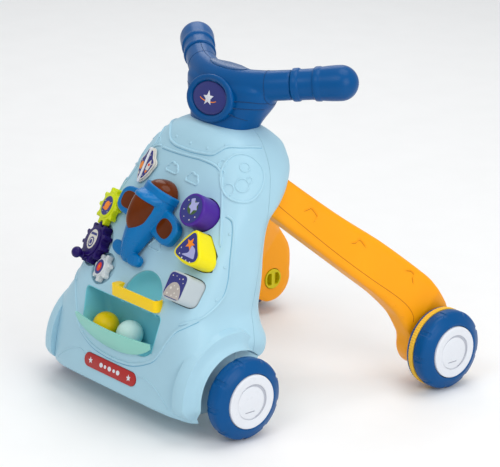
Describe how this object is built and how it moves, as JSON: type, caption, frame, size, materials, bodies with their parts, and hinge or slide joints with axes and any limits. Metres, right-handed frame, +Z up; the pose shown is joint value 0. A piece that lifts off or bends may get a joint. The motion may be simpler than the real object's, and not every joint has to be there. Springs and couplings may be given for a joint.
{
  "type": "baby walker",
  "caption": "Push-along baby walker: leaning activity panel with gears, airplane, shape blocks and ball tray, splayed rear legs, wheels and a two-grip handlebar.",
  "frame": {"origin": "middle of the footprint on the floor", "axes": "+Z up, -Y is the front with the activity panel, +X is the right-hand side as the panel is looked at"},
  "size_m": [0.462, 0.477, 0.4653],
  "materials": {
    "body_blue": "satin",
    "tray_blue": "satin",
    "lip_yellow": "gloss",
    "mint": "satin",
    "plate_red": "satin",
    "deep_blue": "satin",
    "navy": "gloss",
    "cap_gloss": "gloss",
    "orange": "satin",
    "knob_yellow": "satin",
    "steel": "brushed",
    "white": "gloss",
    "band_rubber": "matt",
    "lime": "satin",
    "dark_purple": "satin",
    "light_grey": "satin",
    "purple": "satin",
    "lemon": "satin",
    "plane_blue": "gloss",
    "lens_brown": "translucent gloss",
    "cell": "matt",
    "board_green": "matt"
  },
  "bodies": {
    "frame": {"front_shell": "body_blue", "rear_cover": "body_blue", "battery_door": "body_blue", "battery_box": "body_blue", "ball_tray": "tray_blue", "ball_chute": "tray_blue", "ball_chute_lip": "lip_yellow", "ball_tray_visor": "mint", "name_plate": "plate_red", "handle_front_shell": "deep_blue", "handle_rear_shell": "deep_blue", "right_grip": "deep_blue", "left_grip": "deep_blue", "handle_emblem": "navy", "handle_top_cap": "cap_gloss", "right_leg_outer_cover": "orange", "right_leg_inner_shell": "orange", "left_leg_outer_cover": "orange", "left_leg_inner_shell": "orange", "right_rear_axle": "steel", "left_rear_axle": "steel", "front_axle": "steel", "battery_door_screw": "steel", "flip_book_base": "white", "lime_gear_pin": "light_grey", "crank_gear_pin": "light_grey", "grey_gear_pin": "light_grey", "battery_cell_1": "cell", "battery_cell_2": "cell", "battery_cell_3": "cell", "speaker": "cell", "circuit_board": "board_green"},
    "right_front_wheel_set": {"right_front_wheel": "deep_blue", "right_front_hubcap": "white"},
    "left_front_wheel_set": {"left_front_wheel": "deep_blue", "left_front_hubcap": "white"},
    "right_rear_wheel_set": {"right_rear_wheel_outer": "deep_blue", "right_rear_wheel_inner": "deep_blue", "right_traction_band": "band_rubber", "right_rear_hubcap": "white"},
    "left_rear_wheel_set": {"left_rear_wheel_outer": "deep_blue", "left_rear_wheel_inner": "deep_blue", "left_traction_band": "band_rubber", "left_rear_hubcap": "white"},
    "crank": {"crank_gear": "dark_purple", "crank_knob": "dark_purple"},
    "lime": {"lime_gear": "lime"},
    "grey": {"grey_gear": "light_grey"},
    "airplane": {"airplane_body": "plane_blue", "airplane_lens": "lens_brown"},
    "book_leaf": {"flip_book_leaf": "white"},
    "round_toy": {"round_block": "purple"},
    "triangle_toy": {"triangle_block": "lemon"},
    "square_toy": {"square_block": "light_grey"},
    "ball_yellow": {"yellow_ball": "lip_yellow"},
    "ball_mint": {"mint_ball": "mint"},
    "switch": {"power_switch": "white"},
    "knob_right": {"right_speed_knob": "knob_yellow"},
    "knob_left": {"left_speed_knob": "knob_yellow"}
  },
  "joints": [
    {"name": "right_front_wheel_spin", "type": "hinge", "parent": "frame", "child": "right_front_wheel_set", "pos_m": [0.174, -0.14703, 0.0555], "axis": [1, 0, 0], "continuous": true},
    {"name": "left_front_wheel_spin", "type": "hinge", "parent": "frame", "child": "left_front_wheel_set", "pos_m": [-0.174, -0.14703, 0.0555], "axis": [1, 0, 0], "continuous": true},
    {"name": "right_rear_wheel_spin", "type": "hinge", "parent": "frame", "child": "right_rear_wheel_set", "pos_m": [0.206, 0.18297, 0.0555], "axis": [1, 0, 0], "continuous": true},
    {"name": "left_rear_wheel_spin", "type": "hinge", "parent": "frame", "child": "left_rear_wheel_set", "pos_m": [-0.206, 0.18297, 0.0555], "axis": [1, 0, 0], "continuous": true},
    {"name": "crank_spin", "type": "hinge", "parent": "frame", "child": "crank", "pos_m": [-0.09821, -0.18165, 0.20386], "axis": [-0.2419, -0.8403, 0.4851], "continuous": true},
    {"name": "lime_spin", "type": "hinge", "parent": "frame", "child": "lime", "pos_m": [-0.09743, -0.15574, 0.24912], "axis": [-0.2419, -0.8403, 0.4851], "continuous": true},
    {"name": "grey_spin", "type": "hinge", "parent": "frame", "child": "grey", "pos_m": [-0.06202, -0.19612, 0.18036], "axis": [-0.2419, -0.8403, 0.4851], "continuous": true},
    {"name": "airplane_press", "type": "slide", "parent": "frame", "child": "airplane", "axis": [0, 0.866, -0.5], "range_m": [0, 0.003], "stiffness_N_per_m": 1500, "springref_m": -0.002},
    {"name": "book_leaf_turn", "type": "hinge", "parent": "frame", "child": "book_leaf", "pos_m": [-0.0623, -0.12431, 0.31105], "axis": [0, -0.5, -0.866], "range_deg": [0, 165]},
    {"name": "round_toy_lift", "type": "slide", "parent": "frame", "child": "round_toy", "axis": [0, -0.866, 0.5], "range_m": [0, 0.045]},
    {"name": "triangle_toy_lift", "type": "slide", "parent": "frame", "child": "triangle_toy", "axis": [0, -0.866, 0.5], "range_m": [0, 0.045]},
    {"name": "square_toy_lift", "type": "slide", "parent": "frame", "child": "square_toy", "axis": [0, -0.866, 0.5], "range_m": [0, 0.045]},
    {"name": "yellow_ball_lift", "type": "slide", "parent": "frame", "child": "ball_yellow", "axis": [0, 0, 1], "range_m": [0, 0.03]},
    {"name": "mint_ball_lift", "type": "slide", "parent": "frame", "child": "ball_mint", "axis": [0, 0, 1], "range_m": [0, 0.03]},
    {"name": "switch_slide", "type": "slide", "parent": "frame", "child": "switch", "axis": [1, 0, 0], "range_m": [0, 0.008]},
    {"name": "right_knob_turn", "type": "hinge", "parent": "frame", "child": "knob_right", "pos_m": [0.155, 0.18297, 0.0555], "axis": [1, 0, 0], "range_deg": [0, 90]},
    {"name": "left_knob_turn", "type": "hinge", "parent": "frame", "child": "knob_left", "pos_m": [-0.155, 0.18297, 0.0555], "axis": [1, 0, 0], "range_deg": [0, 90]}
  ],
  "couplings": [
    {"joint": "lime_spin", "follows": "crank_spin", "ratio": -1.1},
    {"joint": "grey_spin", "follows": "crank_spin", "ratio": -1.5714}
  ]
}
